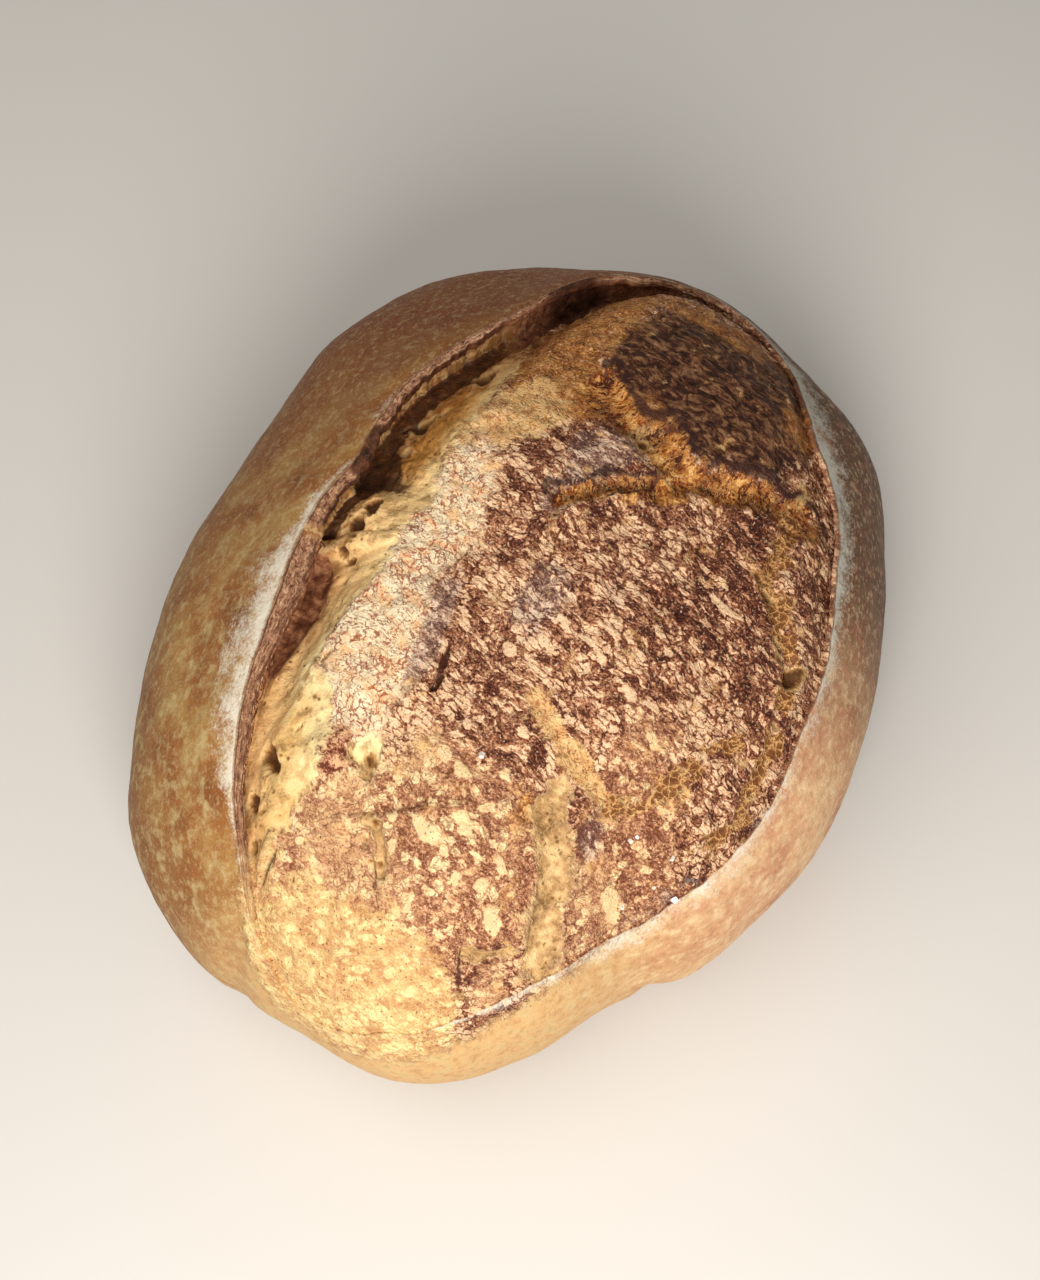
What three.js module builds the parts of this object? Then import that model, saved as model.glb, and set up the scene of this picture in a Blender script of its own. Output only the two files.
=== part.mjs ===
// A crusty sourdough loaf: an oval, flat-based hearth loaf whose one long cut has burst open into a wide
// bloom. Along the cut the smooth crust stands up as a thin lip, the ear, over a torn hollow.
//
// Millimetres, +Z up. X runs along the loaf, Y across it with the ear on the +Y side, and the loaf stands
// on z = 0 with the origin under its middle. The loaf is one solid: a square grid bent into the round
// bloom, then rings that go under the ear, over its lip and down the crust to the base.
import * as THREE from "three";

// ---- Driving dimensions ---------------------------------------------------------------------------------

const CROWN_HEIGHT = 112.5; // top of the bloom
const WAIST_HEIGHT = 42; // the widest line of the loaf
const BASE_SHARE = 0.8; // radius of the flat base as a share of the outline
const DOME_ROUND = 2.3; // superellipse powers of the dome, across and up
const DOME_FULL = 2.1;

// Values round the loaf at every 15 degrees, anticlockwise from +X, joined by a smooth closed curve: the
// radius of the widest line, the radius of the bloom's edge, and how full the ear is.
const OUTLINE = [
  125.8, 123.5, 121.6, 119.1, 111.7, 102.4, 98.3, 99.4, 104.2, 111.4, 120.5, 124.2,
  123.4, 125.9, 115.1, 102.4, 102.5, 100.3, 99.9, 99.9, 103.1, 109.7, 119.4, 121.7,
];
const BLOOM_EDGE = [
  113, 99, 74.5, 63.5, 57.5, 52.8, 49.7, 53.3, 58, 65.3, 81, 101,
  121, 120.5, 106.5, 95.5, 92.2, 88.8, 84, 83.7, 84.3, 89, 92.5, 106,
];
const EAR = [
  0.3, 0.8, 1, 1, 1, 1, 1, 1, 1, 0.95, 0.7, 0.35,
  0.1, 0, 0, 0, 0, 0, 0, 0.05, 0.2, 0.25, 0.1, 0.1,
];

const EAR_LIFT = 6; // how far the lip of the ear stands above the dome
const EAR_REACH = 17; // how far down the crust the ear still lifts it
const EAR_STRIP = { least: 1.2, full: 5.5 }; // width of the rough strip from the lip in to the torn edge
const EAR_THICK = { least: 0.6, full: 3 }; // thickness of the torn edge
const HOLLOW_REACH = { least: 0, full: 4 }; // how far the hollow runs in under the torn edge
const HOLLOW_DEPTH = { least: 1, full: 10 }; // from the dome down to the hollow's floor
const HOLLOW_SLOPE = { least: 5, full: 24 }; // width of the slope from the hollow up to the bloom

// Where crumb bridges the hollow: the bearing and the half width in degrees, and how much it fills.
const BRIDGES = [
  { bearing: 114.5, half: 3.5, share: 1 },
  { bearing: 101.5, half: 11, share: 0.8 },
];

// Torn seams in the bloom: half the width, the depth and the route in plan.
const SEAMS = [
  { half: 5.5, depth: 3.4, route: [[56, 6], [46, -6], [44, -17], [40, -30], [48, -48], [51, -57]] },
  { half: 3, depth: 1.6, route: [[16, -3], [23, -11], [30, -19], [38, -29]] },
  { half: 3.4, depth: 2, route: [[49, -55], [33, -58], [24, -65], [10, -75], [-6, -80], [-27, -79]] },
  { half: 3, depth: 1.4, route: [[-32, -23], [-34, -28], [-46, -38], [-47, -47], [-38, -57], [-23, -72]] },
  { half: 5.5, depth: 2.6, route: [[-56, -38], [-62, -46], [-69, -50], [-78, -52], [-83, -53]] },
  { half: 2.4, depth: 1.6, route: [[-23, 7], [-37, 5], [-47, 3], [-54, 3]] },
  { half: 2.6, depth: 2.4, route: [[-76, 7], [-79, -3], [-83, -4], [-87, -8]] },
];

// Broad swellings of the bloom: a place in plan, a radius and a height.
const SWELLINGS = [
  { at: [78, -16], radius: 30, height: 2.6 },
  { at: [3, -30], radius: 34, height: 2.2 },
  { at: [-86, -26], radius: 22, height: 1.8 },
  { at: [-70.5, 15], radius: 6, height: 3.2 },
  { at: [21, 12], radius: 17, height: 1.8 },
];

// Creases down the crust: the bearing in degrees, half the width along the outline, the depth, and the
// heights between which it runs.
const CREASES = [
  { bearing: 172, half: 5, depth: 1.6, low: 18, high: 84 },
  { bearing: 231, half: 5, depth: 1.8, low: -12, high: 40 },
];

// ---- Mesh density ---------------------------------------------------------------------------------------

const GRID = 44; // cells across the bloom's grid
const AROUND = 4 * GRID;
const EAR_ROWS = 7;
const CRUST_ROWS = 8;
const FOOT_ROWS = 5;

// ---- Curves ---------------------------------------------------------------------------------------------

const TURN = 2 * Math.PI;
const mix = (a, b, t) => a + (b - a) * t;
const ofEar = (size, ear) => mix(size.least, size.full, ear);
const smooth = (low, high, x) => THREE.MathUtils.smoothstep(x, low, high);
const bell = (x) => Math.exp(-x * x);

// The closed Catmull-Rom curve through values that stand at equal steps round the loaf.
function around(values, bearing) {
  const count = values.length;
  const place = ((((bearing / TURN) % 1) + 1) % 1) * count;
  const i = Math.floor(place);
  const f = place - i;
  const [a, b, c, d] = [-1, 0, 1, 2].map((k) => values[(i + k + count) % count]);
  const square = 2 * a - 5 * b + 4 * c - d;
  const cube = 3 * b - a - 3 * c + d;
  return 0.5 * (2 * b + (c - a) * f + square * f ** 2 + cube * f ** 3);
}

const earAt = (bearing) => THREE.MathUtils.clamp(around(EAR, bearing), 0, 1);

// How far crumb fills the hollow at a bearing.
function bridgeAt(bearing) {
  const fills = BRIDGES.map(({ bearing: degrees, half, share }) => {
    const turn = bearing - THREE.MathUtils.degToRad(degrees);
    const aside = THREE.MathUtils.radToDeg(Math.atan2(Math.sin(turn), Math.cos(turn)));
    return share * bell((aside / half) ** 2);
  });
  return Math.max(...fills);
}

// Distance in plan from a point to a route of straight legs.
function distanceToRoute(x, y, route) {
  let nearest = Infinity;
  for (let i = 1; i < route.length; i++) {
    const [ax, ay] = route[i - 1];
    const [dx, dy] = [route[i][0] - ax, route[i][1] - ay];
    const along = THREE.MathUtils.clamp(((x - ax) * dx + (y - ay) * dy) / (dx * dx + dy * dy), 0, 1);
    nearest = Math.min(nearest, Math.hypot(x - ax - along * dx, y - ay - along * dy));
  }
  return nearest;
}

// ---- The loaf's surface ---------------------------------------------------------------------------------

// Height of the plain dome at a share of the outline's radius.
function domeHeight(share) {
  const left = Math.max(0, 1 - Math.min(share, 1) ** DOME_ROUND);
  return WAIST_HEIGHT + (CROWN_HEIGHT - WAIST_HEIGHT) * left ** (1 / DOME_FULL);
}

// Low waves that keep a hand-shaped loaf from being even.
function unevenness(x, y, z) {
  return (
    0.9 * Math.sin(x / 19 + 1.3) * Math.sin(y / 23 - 0.4) +
    0.7 * Math.sin(x / 11 - y / 14 + z / 17) +
    0.5 * Math.sin(y / 8.5 + x / 21 + 2.1) * Math.sin(z / 13 + 0.7)
  );
}

function swellingsAt(x, y) {
  return SWELLINGS.reduce((sum, { at, radius, height }) => {
    return sum + height * bell(Math.hypot(x - at[0], y - at[1]) / radius);
  }, 0);
}

function seamDepthAt(x, y) {
  const depths = SEAMS.map(({ route, half, depth }) => {
    return depth * (1 - smooth(0.35, 1.1, distanceToRoute(x, y, route) / half));
  });
  return Math.max(...depths);
}

// The four places that shape the ear at a bearing, each as [radius, height].
function earSection(bearing) {
  const ear = earAt(bearing);
  const bridge = bridgeAt(bearing);
  const hollow = ear * (1 - 0.85 * bridge);
  const depth = ofEar(HOLLOW_DEPTH, ear) * (1 - 0.6 * bridge);
  const outline = around(OUTLINE, bearing);
  const lipRadius = around(BLOOM_EDGE, bearing);
  const edgeRadius = lipRadius - ofEar(EAR_STRIP, ear);
  const lip = [lipRadius, domeHeight(lipRadius / outline) + EAR_LIFT * ear];
  const edge = [edgeRadius, lip[1] - 0.4 * (lipRadius - edgeRadius)];
  const under = [edgeRadius + 0.5, edge[1] - ofEar(EAR_THICK, hollow)];
  const floorRadius = edgeRadius + ofEar(HOLLOW_REACH, hollow) + 0.2;
  const floor = [floorRadius, domeHeight(floorRadius / outline) - depth];
  return { ear, depth, outline, lip, edge, under, floor };
}

// A point of the bloom, from its middle (reach 0) to the hollow's floor (reach 1).
function bloomPoint(bearing, reach) {
  const { ear, depth, outline, edge, floor } = earSection(bearing);
  const radius = floor[0] * reach;
  const [x, y] = [radius * Math.cos(bearing), radius * Math.sin(bearing)];
  const inward = edge[0] - radius;
  const sunk = depth * (1 - smooth(0, ofEar(HOLLOW_SLOPE, ear), inward));
  const open = smooth(0.5, 7, inward); // relief fades out before the hollow
  const relief = unevenness(x, y, 0) + swellingsAt(x, y) - seamDepthAt(x, y);
  return [x, y, domeHeight(radius / outline) - sunk + relief * open];
}

// A point between the hollow's floor (climb 0) and the lip of the ear (climb 1).
function earPoint(bearing, climb) {
  const { lip, edge, under, floor } = earSection(bearing);
  const back = [floor[0] + 0.6, mix(floor[1], under[1], 0.5)];
  const corners = [floor, back, under, edge, lip];
  const place = climb * (corners.length - 1);
  const i = Math.min(Math.floor(place), corners.length - 2);
  const [radius, z] = [0, 1].map((k) => mix(corners[i][k], corners[i + 1][k], place - i));
  return [radius * Math.cos(bearing), radius * Math.sin(bearing), z];
}

// A point of the smooth crust, from the lip (drop 0) to the waist (drop 1).
function crustPoint(bearing, drop) {
  const { ear, outline, lip } = earSection(bearing);
  const start = Math.asin((lip[0] / outline) ** (DOME_ROUND / 2));
  const angle = mix(start, Math.PI / 2, drop);
  const radius = outline * Math.sin(angle) ** (2 / DOME_ROUND);
  const dome = domeHeight(radius / outline);
  const away = Math.hypot(radius - lip[0], domeHeight(lip[0] / outline) - dome);
  const lift = EAR_LIFT * ear * bell(away / EAR_REACH);
  return [radius * Math.cos(bearing), radius * Math.sin(bearing), dome + lift];
}

// A point of the foot, from the waist (drop 0) round under to the flat base (drop 1).
function footPoint(bearing, drop) {
  const outline = around(OUTLINE, bearing);
  const angle = (drop * Math.PI) / 2;
  const radius = outline * mix(BASE_SHARE, 1, Math.cos(angle));
  return [radius * Math.cos(bearing), radius * Math.sin(bearing), WAIST_HEIGHT * (1 - Math.sin(angle))];
}

// Moves a point of the crust in or out by the low waves and the creases; held 0 leaves it where it is.
function weathered([x, y, z], bearing, held) {
  const outline = around(OUTLINE, bearing);
  const creases = CREASES.map(({ bearing: degrees, half, depth, low, high }) => {
    const turn = bearing - THREE.MathUtils.degToRad(degrees);
    const aside = outline * Math.atan2(Math.sin(turn), Math.cos(turn));
    return depth * bell(aside / half) * smooth(low, low + 11, z) * (1 - smooth(high - 12, high, z));
  });
  const out = held * (0.45 * unevenness(x, y, z) - Math.max(...creases));
  return [x + out * Math.cos(bearing), y + out * Math.sin(bearing), z];
}

// ---- The mesh -------------------------------------------------------------------------------------------

// A square grid's point in the round bloom: its ring is the reach, and its place on the ring the bearing.
function gridPlace(i, j) {
  const [a, b] = [(2 * i) / GRID - 1, (2 * j) / GRID - 1];
  const reach = Math.max(Math.abs(a), Math.abs(b));
  if (reach === 0) return [0, 0];
  const eighth = Math.PI / 4;
  if (Math.abs(a) >= Math.abs(b)) return [(a > 0 ? 0 : Math.PI) + (eighth * b) / a, reach];
  return [(b > 0 ? Math.PI / 2 : -Math.PI / 2) - (eighth * a) / b, reach];
}

// The grid's edge cells in order, anticlockwise from the corner at -135 degrees.
function gridEdge() {
  const steps = [...Array(GRID).keys()];
  return [
    ...steps.map((k) => [k, 0]),
    ...steps.map((k) => [GRID, k]),
    ...steps.map((k) => [GRID - k, GRID]),
    ...steps.map((k) => [0, GRID - k]),
  ];
}

function loafGeometry() {
  const points = [];
  const triangles = [];
  const apart = (a, b) => Math.hypot(...points[a].map((value, k) => value - points[b][k]));
  const quad = (a, b, c, d) => {
    if (apart(a, c) <= apart(b, d)) triangles.push(a, b, c, a, c, d);
    else triangles.push(a, b, d, b, c, d);
  };

  const gridIndex = (i, j) => i * (GRID + 1) + j;
  for (let i = 0; i <= GRID; i++) {
    for (let j = 0; j <= GRID; j++) points.push(bloomPoint(...gridPlace(i, j)));
  }
  for (let i = 0; i < GRID; i++) {
    for (let j = 0; j < GRID; j++) {
      quad(gridIndex(i, j), gridIndex(i + 1, j), gridIndex(i + 1, j + 1), gridIndex(i, j + 1));
    }
  }

  const edge = gridEdge();
  const bearings = edge.map(([i, j]) => gridPlace(i, j)[0]);
  let ring = edge.map(([i, j]) => gridIndex(i, j));
  const addRing = (pointAt) => {
    const next = bearings.map((bearing) => points.push(pointAt(bearing)) - 1);
    for (let k = 0; k < AROUND; k++) {
      const after = (k + 1) % AROUND;
      quad(ring[k], next[k], next[after], ring[after]);
    }
    ring = next;
  };
  for (let row = 1; row <= EAR_ROWS; row++) {
    addRing((bearing) => earPoint(bearing, row / EAR_ROWS));
  }
  for (let row = 1; row <= CRUST_ROWS; row++) {
    const drop = row / CRUST_ROWS;
    addRing((bearing) => weathered(crustPoint(bearing, drop), bearing, smooth(0, 0.5, drop)));
  }
  for (let row = 1; row <= FOOT_ROWS; row++) {
    const drop = row / FOOT_ROWS;
    addRing((bearing) => weathered(footPoint(bearing, drop), bearing, 1));
  }
  const middle = points.push([0, 0, 0]) - 1;
  for (let k = 0; k < AROUND; k++) triangles.push(ring[k], middle, ring[(k + 1) % AROUND]);

  const geometry = new THREE.BufferGeometry();
  geometry.setAttribute("position", new THREE.Float32BufferAttribute(points.flat(), 3));
  geometry.setIndex(triangles);
  geometry.computeBoundingBox();
  const centre = geometry.boundingBox.getCenter(new THREE.Vector3());
  geometry.translate(-centre.x, -centre.y, 0);
  geometry.computeVertexNormals();
  return geometry;
}

// ---- The part -------------------------------------------------------------------------------------------

const crust = new THREE.MeshStandardMaterial({ color: 0xb87a45, roughness: 0.75, metalness: 0 });
const loaf = new THREE.Mesh(loafGeometry(), crust);
loaf.name = "loaf";

const group = new THREE.Group();
group.add(loaf);

export default group;
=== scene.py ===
"""A crusty sourdough loaf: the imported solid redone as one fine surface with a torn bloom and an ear.

Sizes are in millimetres in the loaf's own frame until the mesh is made, which is in metres.
"""

import itertools
import math
from types import SimpleNamespace

import bmesh
import bpy
import numpy as np
from mathutils import Euler, Matrix, Vector


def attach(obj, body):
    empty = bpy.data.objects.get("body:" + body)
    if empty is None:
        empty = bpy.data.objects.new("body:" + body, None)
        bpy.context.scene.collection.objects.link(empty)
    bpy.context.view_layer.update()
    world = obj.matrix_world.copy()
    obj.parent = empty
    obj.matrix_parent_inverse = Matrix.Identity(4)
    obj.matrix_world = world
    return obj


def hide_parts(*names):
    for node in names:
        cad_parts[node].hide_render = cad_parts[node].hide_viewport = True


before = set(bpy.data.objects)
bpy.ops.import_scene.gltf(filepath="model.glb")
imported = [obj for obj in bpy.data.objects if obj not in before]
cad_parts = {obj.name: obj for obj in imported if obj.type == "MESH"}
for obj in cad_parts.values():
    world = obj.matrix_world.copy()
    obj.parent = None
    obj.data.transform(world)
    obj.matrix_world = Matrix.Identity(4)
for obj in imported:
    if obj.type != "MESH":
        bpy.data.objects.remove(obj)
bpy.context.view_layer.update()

# ---- The loaf's driving sizes, as in its solid ----

CROWN_HEIGHT = 112.5
WAIST_HEIGHT = 42.0
BASE_SHARE = 0.8
DOME_ROUND = 2.3
DOME_FULL = 2.1
CENTRE = (0.78, -0.45)  # where the middle of the box lies before the loaf is centred

# Round the loaf at every 15 degrees, anticlockwise from +X.
OUTLINE = [
    125.8, 123.5, 121.6, 119.1, 111.7, 102.4, 98.3, 99.4, 104.2, 111.4, 120.5, 124.2,
    123.4, 125.9, 115.1, 102.4, 102.5, 100.3, 99.9, 99.9, 103.1, 109.7, 119.4, 121.7,
]
BLOOM_EDGE = [
    113, 99, 74.5, 63.5, 57.5, 52.8, 49.7, 53.3, 58, 65.3, 81, 101,
    121, 120.5, 106.5, 95.5, 92.2, 88.8, 84, 83.7, 84.3, 89, 92.5, 106,
]
EAR = [
    0.3, 0.8, 1, 1, 1, 1, 1, 1, 1, 0.95, 0.7, 0.35,
    0.1, 0, 0, 0, 0, 0, 0, 0.05, 0.2, 0.25, 0.1, 0.1,
]

EAR_LIFT = 6.0
EAR_REACH = 17.0
EAR_THICK = (0.6, 3)
HOLLOW_REACH = (0, 4)
HOLLOW_DEPTH = (1, 10)
HOLLOW_SLOPE = (5, 24)
# Where crumb bridges the hollow: bearing and half width in degrees, and how much it fills.
BRIDGES = [(114.5, 3.5, 1), (101.5, 11, 0.8)]

# The width of the torn strip along the ear and of the painted shade in the hollow beside it, which also
# deepens the hollow where it is wide.
STRIP = [
    1.5, 1.5, 1.6, 1.9, 2.4, 2.8, 3.2, 3.8, 5.4, 5.8, 3.8, 2.6,
    1.6, *[1.2] * 11,
]
DARK = [
    2, 2.5, 3, 2.5, 1.8, 1.5, 1.2, 1, 4.2, 4.4, 1.4, *[1] * 13,
]

# Torn seams: half the width, the depth, the look and the route in plan.
SEAMS = [
    (5, 1.8, "amber", [(56, 6), (46, -6), (44, -17), (40, -30), (48, -48), (51, -57)]),
    (3, 1.2, "amber", [(16, -3), (23, -11), (30, -19), (38, -29)]),
    (3, 1.6, "net", [(49, -55), (36, -57), (27.4, -59.7), (19, -67), (10.5, -75), (4, -76)]),
    (1.8, 1.2, "net", [(4, -76), (-5, -78.6), (-17.8, -81), (-29, -81.5), (-39, -78)]),
    (2.6, 0.7, "glow", [(-35, -24), (-38, -31), (-40, -37), (-45, -46), (-46, -53)]),
    (2.6, 0.7, "net", [(-45, -53), (-41, -58), (-35, -62), (-23, -66.5), (-14.6, -71.8)]),
    (4.8, 1.2, "pale", [(-55, -41), (-63, -47), (-69, -49.5), (-75, -51.5), (-80, -53), (-85, -54)]),
    (1.6, 1.4, "pale", [(-93.5, -38.5), (-91, -42.5), (-87, -48)]),
    (2.6, 1.4, "pale", [(-67, 8), (-69, 5), (-72, 3)]),
    (2, 1.4, "pale", [(-79, -2), (-80, -5), (-84, -8), (-88.5, -11)]),
]
# Cracks in the baked skin: half the width, the depth and the route.
CRACKS = [
    (1.15, 2.6, [(-32.5, 1), (-36.3, 0.2), (-40.7, -0.3), (-44.4, -1.4), (-47.4, 0)]),
    (0.5, 0.7, [(-76.8, -5.1), (-79.6, 0.8), (-83.4, 6.7), (-83.9, 12.9), (-85.1, 19)]),
    (0.6, 0.9, [(-84.7, -0.9), (-86.9, -7.2), (-91.2, -11.1), (-94.9, -13.5), (-99.6, -18.8)]),
    (0.8, 1.7, [(-94, 15.4), (-96, 15.2), (-100.6, 15.2), (-105.6, 16.2), (-113.4, 16.4)]),
    (1.2, 2.2, [(66, -59.6), (54.4, -66.6), (43.4, -71.7), (32.9, -75.7)]),
    (0.8, 0.8, [(-93, -37), (-96, -38), (-102.4, -40.9), (-105, -42)]),
    (0.6, 0.9, [(-81.6, 3.3), (-77.4, -4.6), (-73, -10.7), (-68.8, -17), (-64.1, -22.8)]),
    (0.7, 0.8, [(38, -27), (36, -22), (31, -21), (24, -15), (17, -10)]),
]
# Thin raised folds: half the width, the height and the route.
FOLDS = [
    (1.4, 1.8, [(-94, 17.6), (-96, 17.4), (-100.6, 17.4), (-105.6, 18.6), (-113.4, 18.8)]),
    (1, 0.8, [(2, -79.5), (-5, -81), (-17, -83.4), (-28, -84), (-39, -81), (-49.5, -76), (-60, -70)]),
    (0.9, 0.7, [(5, -73), (-4, -76.2), (-14, -78.4), (-26, -78.6), (-37.6, -75.6), (-50, -69.6)]),
    (0.9, 1.1, [(-86, 4.5), (-82.8, 4), (-78.8, -4.4), (-74.4, -10.8), (-70.2, -17), (-65.5, -23)]),
    (1.2, 0.9, [(-31, 4), (-33.5, 3), (-37.3, 2.2), (-41.7, 1.7), (-45.4, 1.2), (-49, 3)]),
    (1.6, 1.3, [(39.9, -1.3), (38.5, -10), (34.5, -18), (29, -20), (20.4, -12.1), (13.4, -7.1), (8, -5.8)]),
]
# Open bubbles: place, radius and depth.
BUBBLES = [
    (22.8, 43.8, 3.2, 3.6), (44.9, 37.6, 3.6, 3.6), (29.6, 40, 1.5, 1.8), (37, 37.1, 1.9, 2),
    (51.1, 35.9, 1.8, 2), (-6.6, 40.2, 2.6, 3.2), (-13, 42, 3, 3.6), (-20.8, 41, 2.8, 2.8),
    (-21.9, 38.3, 1.8, 1.6), (-27.4, 36.8, 1.5, 1.4), (-34.2, 33.8, 1.2, 1.4), (-34.4, 39.1, 0.9, 1.2),
    (-43, 35.9, 1, 1.2), (-48.6, 28.6, 1.2, 1.8), (-51.4, 29, 1, 1.4), (82.2, 29.3, 3.6, 3.4),
    (65.9, 32.2, 2.4, 2.2), (6, 41.2, 1.5, 1.6), (14, 42.5, 1.8, 1.6), (-76.4, 29.5, 4, 3.8),
    (-88.3, 26.2, 3.2, 3.2), (-68, 4.2, 2.2, 2), (-69.5, 8.2, 1.5, 1.8), (-84.4, -3.9, 1.3, 2.4),
    (-79.7, -4.2, 1.8, 1.2), (43.2, -12.4, 2.4, 1), (55.5, -54.8, 1.6, 2), (46.5, -9.8, 1.2, 0.8),
    (-88.1, -10.6, 1.8, 1.6), (-91.8, 9.6, 1.3, 1.2), (-99.9, 8.1, 1.3, 1), (-97.4, 21.5, 2, 2),
    (-67.7, 24.4, 0.9, 1.2), (-69.9, 25.2, 0.9, 1.2), (10, -75.6, 3.2, 2.2), (15, -67.6, 1.8, 1.6),
    (11.6, -70.2, 1.6, 1.5), (24.6, -61.2, 2, 1.6), (-87, -48, 1.2, 1.4), (-63, -43.5, 1.2, 1),
    (-76, -50, 1.3, 1), (-81, -54, 1.1, 0.9), (-71, -53, 0.9, 0.8), (-12, -80.6, 0.9, 0.9),
    (-21, -81.4, 1, 0.9), (-30, -81, 0.9, 0.9), (-3, -78.6, 1.1, 1), (-44, -48, 1.2, 1), (-43, -55, 1.1, 1),
    (-29, -64.5, 1.1, 1),
]
# Broad swellings of the bloom: place, radius and height.
SWELLINGS = [
    (78, -16, 30, 2.6), (3, -30, 34, 2.2), (-86, -26, 22, 1.8), (21, 12, 17, 1.8), (-71.5, 14, 6, 3.2),
    (-69.5, 17, 3, 1.2), (34, -5, 6, 0.8), (31, 24, 3.2, 1.2), (-24, -60, 3, 0.5), (-65, -63, 4, 0.6),
]
# Creases down the crust: bearing, half width, depth, and lowest and highest height.
CREASES = [(172, 5, 1.6, 18, 84), (231, 5, 1.8, -12, 40)]

# ---- Patches of the bloom: place, radii along X and Y, strength ----

LIGHTER = [
    (-4, 13, 10, 8, 0.26), (14, -34, 12, 8, 0.12), (-22, 26, 22, 11, 0.3), (-44, 17, 16, 13, 0.32),
    (2, 24, 14, 9, 0.16), (24, 20, 16, 9, 0.1), (-60, 10, 10, 10, 0.16), (-73, 0, 10, 9, 0.24),
    (-58, -7, 10, 8, 0.2), (-17, -4, 6, 6, 0.15), (28, -6, 7, 6, 0.08), (-20, -64, 8, 6, 0.08),
    (-80, -20, 15, 14, 0.12), (-107, -8, 17, 28, 0.2), (-86, 14, 12, 8, 0.24), (-20, -64, 12, 8, 0.14),
    (-30, -42, 12, 8, 0.1), (-18, -12, 12, 8, 0.08),
]
DARKER = [
    (78, -18, 28, 26, 0.06), (88, 0, 20, 16, 0.08), (56, 12, 12, 8, 0.04), (14, -46, 22, 12, 0.16),
    (4, -64, 22, 9, 0.12), (44, -46, 12, 8, 0.22), (5, -45, 14, 9, 0.08), (-50, -62, 14, 10, 0.06),
    (-92, -46, 10, 6, 0.06), (-56, -50, 6, 4, 0.25), (28, -22, 10, 8, 0.1),
]
CRUMB = [(-66, 29, 12, 9, 1), (-78, 25, 10, 9, 1), (-90, 23, 8, 6, 0.9), (-66, 5, 4, 5, 0.7)]
AMBER = [(-53, -40, 5, 5, 1), (-60, -36, 4.5, 4, 0.8), (6, 36, 6, 5, 0.8)]
GLOW = [
    (-34, -25, 4.5, 4, 1), (-41, -37, 4, 5, 0.9), (-62, -36, 8, 5, 0.7), (18, 30, 14, 4, 0.8),
    (40, 12, 8, 6, 0.6), (31, 21, 10, 8, 1.6), (45, 19, 5, 4, 0.9),
]
# Patches that share a name with what the material reads.
PATCHES = {
    "plate": [(73, -20, 27, 31, 1.6)],  # the darker, greyer skin beyond the widest seam
    "plum": [
        (33, -3, 7, 8, 1), (38, -12, 5, 6, 0.7), (22, -5, 9, 6, 0.7), (13, -1, 7, 5, 0.5),
        (-26, 8, 11, 3.5, 1), (-39, 5.5, 9, 3.5, 1.1), (-55, -52, 7, 4, 0.9), (-12, -12, 15, 9, 0.75),
        (20, -34, 16, 8, 0.35), (-50, -66, 10, 5, 0.3), (46, -44, 8, 5, 0.5), (0, -28, 10, 8, 0.4),
    ],
    "gold": [(-112, -6, 15, 30, 1.2), (-108, -28, 10, 14, 0.8), (-97, 19, 7, 5, 0.5)],
    "pink": [
        (-90, 4, 11, 12, 0.9), (-79, 5, 8, 7, 0.8), (-17, -3, 5, 5, 0.6), (-60, -7, 9, 7, 0.7),
        (-90, -14, 9, 12, 0.7), (-96, -46, 8, 5, 0.8), (-64, -60, 14, 9, 0.6),
    ],
    "round": [
        (-76, -24, 22, 18, 1.3), (-60, -60, 26, 14, 1.2), (-95, 0, 24, 30, 1.2), (-28, -52, 16, 12, 0.4),
    ],
    "veined": [
        (-20, 24, 22, 11, 1.1), (-44, 17, 16, 12, 1.1), (8, 22, 16, 9, 0.9), (-62, 12, 10, 9, 0.7),
        (-4, 15, 7, 5, 0.7),
    ],
    "russet": [
        (60, 24, 20, 12, 1.2), (36, 17, 11, 6, 0.7), (86, 18, 16, 10, 1), (49, 8, 9, 12, 1.2),
        (52, -8, 5, 8, 0.9), (96, -12, 8, 22, 0.8), (78, -44, 10, 8, 0.8),
    ],
    # dark char on the ear, with painted shade beside it under the ear and by the far rim
    "charred": [(3, 46.5, 6, 6, 1.4), (8, 47, 5, 5, 1.1), (0, 36, 5, 5, 0.45), (90, 33, 18, 7, 1)],
    "knob": [(-70.5, 15, 6, 6.5, 1.5)],
    "honey": [  # where the crumb is baked to a deeper gold
        (10, 39, 9, 7, 0.9), (24, 38, 10, 7, 1), (38, 37, 9, 6, 1), (-64, 28, 9, 7, 0.5),
        (-76, 26, 9, 7, 0.55), (-92, 22, 9, 7, 0.4), (-86, 15, 9, 8, 0.5),
    ],
}
FLECK_TURN = 9.6  # degrees that bring the run of the flecks onto Y
AWAY_FROM_VIEWER = (0.866, 0.5, 0)
VIEWERS_RIGHT = (0.5, -0.866, 0)

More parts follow.
